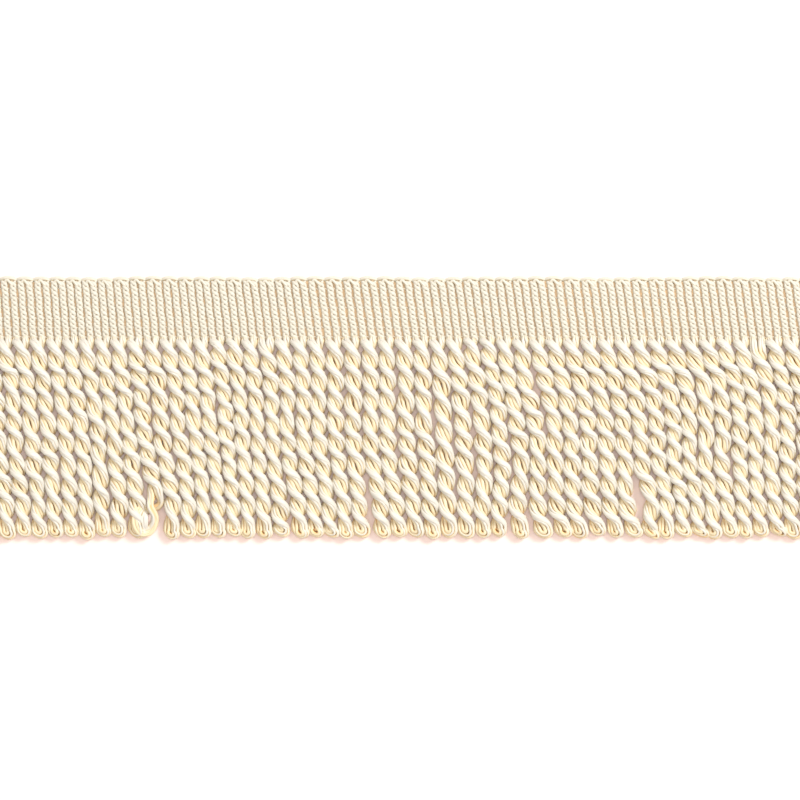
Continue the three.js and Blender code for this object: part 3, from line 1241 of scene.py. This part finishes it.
@dataclass
class Heading:
    """The band that is sewn on: ground cloth, twisted ribs, binding rows and the arches of its top edge."""

    plan: Plan
    shift: np.ndarray
    ground: GroundSize = GroundSize()
    rib: RibSize = RibSize()
    binding: BindingSize = BindingSize()
    arch: ArchSize = ArchSize()

    def build_ground(self, material: bpy.types.Material) -> bpy.types.Object:
        """The ground cloth under the ribs, a thin closed sheet ribbed like them.

        Args:
            material: Its finish.

        Returns:
            The sheet.
        """
        plan, ground = self.plan, self.ground
        columns = np.linspace(0, CORDS, CORDS * RIBS_PER_CORD * ground.per_rib + 1)
        lowest, highest = plan.foot + ground.above_foot, self.rib.top + ground.above_ribs
        rows = np.linspace(lowest, highest, ground.rows)
        x = plan.leaned_x(plan.boundary_x(columns)[None, :], rows[:, None])
        y = np.broadcast_to(rows[:, None], x.shape)
        ribbed = 0.5 - 0.5 * np.cos(2 * np.pi * RIBS_PER_CORD * columns)
        z = np.broadcast_to(ground.thickness + ground.ribbed * ribbed, x.shape)
        top = np.stack([x, y, z], axis=2)
        bottom = np.stack([x, y, np.zeros_like(x)], axis=2)
        corner = np.arange(x.size).reshape(x.shape)
        quads = (corner[:-1, :-1], corner[:-1, 1:], corner[1:, 1:], corner[1:, :-1])
        upper = np.stack(quads, axis=2).reshape(-1, 4)
        lower = upper[:, ::-1] + x.size
        rim = np.concatenate([corner[0], corner[1:, -1], corner[-1, -2::-1], corner[-2:0:-1, 0]])
        after = np.roll(rim, -1)
        wall = np.stack([rim + x.size, after + x.size, after, rim], axis=1)
        faces = np.concatenate([upper, lower, wall])
        points = (np.concatenate([top.reshape(-1, 3), bottom.reshape(-1, 3)]) + self.shift) * MM
        # Top: the cloth's warm tone, deepened as painted shade between the ribs; underside and rim pale.
        painted_lights = np.full(len(points), ground.painted_light)
        painted_lights[x.size :] = ground.rim_painted_light
        painted_lights[rim] = ground.rim_painted_light
        uvs = points[faces.ravel(), :2]
        return make_piece("heading_cloth", points, faces.tolist(), uvs, painted_lights, material)

    def build_ribs(self, material: bpy.types.Material) -> list[bpy.types.Object]:
        """The ribs, each a tightly twisted pair of ends.

        Args:
            material: Their finish.

        Returns:
            The ribs of the left half and of the right half.
        """
        rng = np.random.default_rng(SEED + 1)
        ribs = CORDS * RIBS_PER_CORD
        pieces = []
        for name, first, past in (("ribs_left", 0, ribs // 2), ("ribs_right", ribs // 2, ribs)):
            yarns = YarnMesh(f"heading_{name}")
            for rib in range(first, past):
                self._add_rib(yarns, rib, rng)
            pieces.append(yarns.finish(self.shift, material))
        return pieces

    def _add_rib(self, yarns: YarnMesh, which: int, rng: np.random.Generator) -> None:
        """Adds one rib's two ends to a mesh.

        Args:
            yarns: The mesh that takes them.
            which: Which rib, counted from the left.
            rng: The source of the small differences between ribs.
        """
        plan, rib = self.plan, self.rib
        foot = float(plan.boundary_x((which + 0.5) / RIBS_PER_CORD))
        lowest = rib.feet[which % RIBS_PER_CORD]
        count = int(round((rib.top - lowest) / rib.ring_step)) + 1
        y = np.linspace(rib.top, lowest, count)
        wander, ahead_by, _ = rng.uniform(-1, 1, 3)
        x = plan.leaned_x(foot, y)
        x = x + rib.wander * np.sin(np.pi * y / rib.lay + rib.wander_phase * wander)
        z = rib.lie - rib.sink * smooth((lowest + rib.sink_span - y) / rib.sink_span)
        line = np.stack([x, y, z], axis=1)
        stitch = 2 * np.pi * (self.binding.rows[0] - y) / rib.lay
        theta = np.pi / 2 - stitch + rib.turn_play * ahead_by
        theta = theta - rib.haste * np.sin(2 * theta)
        pinch = 1 - rib.pinch * (0.5 + 0.5 * np.cos(stitch))
        _, across, up = axes_along(line)
        end = rib.end
        # Painted shade where the pair's two ends hide each other.
        painted_light = openness(end, [replace(end, out=-end.out)])
        for turn in (theta, theta + np.pi):
            run = line + end.out * np.cos(turn)[:, None] * across
            run = run + end.out * rib.flatness * np.sin(turn)[:, None] * up
            yarns.add(run, between(across, up, turn), end, painted_light, pinch)

    def build_bindings(self, material: bpy.types.Material) -> bpy.types.Object:
        """The rows of fine thread that cross the grooves between the ribs.

        Args:
            material: Their finish.

        Returns:
            The rows as one piece.
        """
        rng = np.random.default_rng(SEED + 2)
        size = self.binding
        yarns = YarnMesh("heading_bindings")
        count = CORDS * RIBS_PER_CORD * size.per_rib + 1
        columns = np.linspace(size.set_in, CORDS - size.set_in, count)
        feet = self.plan.boundary_x(columns)
        over = 2 * np.pi * RIBS_PER_CORD * columns
        for row in size.rows:
            wander = np.interp(columns, np.arange(0, CORDS + 1), rng.uniform(-1, 1, CORDS + 1))
            y = row + size.wander * wander - size.sway * np.sin(over)
            line = np.stack([self.plan.leaned_x(feet, y), y, size.lie + size.weave * np.cos(over)], axis=1)
            # Painted light on the thread's upper side, painted shade underneath.
            yarns.add(line, UP, size.thread, size.thread.turned_out())
        return yarns.finish(self.shift, material)

    def build_arches(self, material: bpy.types.Material) -> bpy.types.Object:
        """The arches of the top edge, where the yarn turns from one cord's rib to the next cord's.

        Args:
            material: Their finish.

        Returns:
            The arches as one piece.
        """
        plan, arch = self.plan, self.arch
        yarns = YarnMesh("heading_arches")
        facing = np.array(arch.facing)
        # Painted light on the side looking up and out from the edge, painted shade under it.
        painted_light = arch.yarn.turned_out()
        t = np.linspace(-1, 1, arch.points)
        right = smooth((t - arch.slant_top) / (1 - arch.slant_top))
        left = smooth((arch.slant_top - t) / (1 + arch.slant_top))
        for boundary in range(1, CORDS):
            top = plan.arch_top(boundary)
            y = top - arch.under_edge - arch.yarn.half[0] - arch.rise * np.abs(t) ** arch.roundness
            x = plan.leaned_x(plan.boundary_x(boundary + 0.5 * t), y)
            z = arch.lie - arch.drop * np.abs(t) ** arch.steepness
            yarns.add(np.stack([x, y, z], axis=1), facing, arch.yarn, painted_light)
            y = top - arch.slant_under - arch.slant_right * right - arch.slant_left * left
            x = plan.leaned_x(plan.boundary_x(boundary + arch.slant_half * t), y)
            z = arch.slant_lie + arch.slant_bow * (1 - t**2)
            yarns.add(np.stack([x, y, z], axis=1), facing, arch.yarn, painted_light, arch.slant_size)
        return yarns.finish(self.shift, material)


@dataclass(frozen=True)
class Softbox:
    """One square soft light that looks at the trim, with its place and side in metres."""

    name: str
    place: tuple[float, float, float]
    side: float
    watts: float

    def build(self) -> None:
        """Hangs the light."""
        light = bpy.data.lights.new(self.name, "AREA")
        light.shape = "SQUARE"
        light.size = self.side
        light.energy = self.watts
        lamp = bpy.data.objects.new(self.name, light)
        lamp.location = self.place
        lamp.rotation_euler = (-Vector(self.place)).to_track_quat("-Z", "Y").to_euler()
        bpy.context.scene.collection.objects.link(lamp)


@dataclass
class Studio:
    """The pale floor, the soft light and the camera above."""

    centre: tuple[float, float]
    camera_height: float = 1.6
    sensor_width: float = 36.0
    sees_to: float = 20.0
    floor_side: float = 6.0
    floor_dye: tuple[float, float, float] = (0.91, 0.765, 0.72)
    floor_roughness: float = 0.9
    floor_shine: float = 0.1
    sky_dye: tuple[float, float, float] = (1.0, 0.97, 0.945)
    sky_strength: float = 0.78
    key: Softbox = Softbox(name="key_light", place=(1.45, 1.15, 1.75), side=0.9, watts=54.0)
    overhead: Softbox = Softbox(name="overhead_light", place=(0.05, 0.1, 2.1), side=0.6, watts=14.0)

    def build(self) -> None:
        """Sets up the floor, the lights and the camera."""
        self._floor()
        self._lights()
        self._camera()

    def _floor(self) -> None:
        """A wide pale floor under the trim."""
        bpy.ops.object.select_all(action="DESELECT")
        bpy.ops.mesh.primitive_plane_add(size=self.floor_side, location=(0, 0, 0))
        floor = bpy.context.object
        floor.name = "floor"
        material = bpy.data.materials.new("floor_paper")
        material.use_nodes = True
        shader = material.node_tree.nodes["Principled BSDF"]
        shader.inputs["Base Color"].default_value = (*self.floor_dye, 1)
        shader.inputs["Roughness"].default_value = self.floor_roughness
        shader.inputs["Specular IOR Level"].default_value = self.floor_shine
        floor.data.materials.append(material)

    def _lights(self) -> None:
        """A large soft light from beyond the heading and to the right, and an even pale surround."""
        scene = bpy.context.scene
        world = bpy.data.worlds.new("surround")
        scene.world = world
        world.use_nodes = True
        sky = world.node_tree.nodes["Background"]
        sky.inputs["Color"].default_value = (*self.sky_dye, 1)
        sky.inputs["Strength"].default_value = self.sky_strength
        self.key.build()
        self.overhead.build()
        scene.view_settings.view_transform = "Standard"
        scene.view_settings.look = "None"

    def _camera(self) -> None:
        """A long lens straight above, framed as in the photograph."""
        camera = bpy.data.cameras.new("camera")
        camera.sensor_width = self.sensor_width
        view_width = PHOTO_SIDE_PX / PX_PER_MM * MM
        camera.lens = self.sensor_width * self.camera_height / view_width
        camera.clip_end = self.sees_to
        eye = bpy.data.objects.new("camera", camera)
        eye.location = (self.centre[0] * MM, self.centre[1] * MM, self.camera_height)
        bpy.context.scene.collection.objects.link(eye)
        bpy.context.scene.camera = eye


FINISHES = {
    YarnPart.CORD: YarnFinish(
        crest=(0.71, 0.665, 0.58),
        flank=(0.78, 0.65, 0.42),
        inner=(0.88, 0.58, 0.27),
    ),
    YarnPart.RIB: YarnFinish(
        crest=(0.668, 0.622, 0.517),
        flank=(0.7, 0.61, 0.44),
        inner=(0.68, 0.5, 0.29),
        turns_per_m=50.0,
    ),
    YarnPart.BINDING: YarnFinish(
        crest=(0.76, 0.63, 0.48),
        flank=(0.72, 0.57, 0.41),
        inner=(0.62, 0.46, 0.3),
        roughness=0.55,
    ),
    YarnPart.GROUND: YarnFinish(
        crest=(0.72, 0.66, 0.52),
        flank=(0.83, 0.6, 0.37),
        inner=(0.82, 0.58, 0.34),
        roughness=0.7,
    ),
}


def main() -> None:
    """Builds the trim and its studio and reports each piece."""
    logging.basicConfig(level=logging.INFO, format="%(message)s")
    plan = Plan()
    heading_low, heading_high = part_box("heading")
    shift_x = heading_high.x / MM - float(plan.boundary_x(CORDS))
    shift_y = heading_low.y / MM - plan.foot
    shift = np.array([shift_x, shift_y, 0.0])
    materials = {part: finish.build(part.value) for part, finish in FINISHES.items()}
    above_middle = (ORIGIN_ROW_PX - PHOTO_SIDE_PX / 2) / PX_PER_MM
    Studio(centre=(shift_x, above_middle + shift_y)).build()
    fringe = CordFringe(plan, shift)
    cords = fringe.build(materials[YarnPart.CORD])
    heading = Heading(plan, shift)
    cloth = heading.build_ground(materials[YarnPart.GROUND])
    ribs = heading.build_ribs(materials[YarnPart.RIB])
    bindings = heading.build_bindings(materials[YarnPart.BINDING])
    arches = heading.build_arches(materials[YarnPart.RIB])
    for piece in (*cords, cloth, *ribs, bindings, arches):
        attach(piece, "root")
        log.info("%s: %d faces", piece.name, len(piece.data.polygons))
    for piece in cords:
        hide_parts("fringe")
    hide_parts("heading")
    length = float(plan.boundary_x(CORDS) - plan.boundary_x(0))


if __name__ == "__main__":
    main()
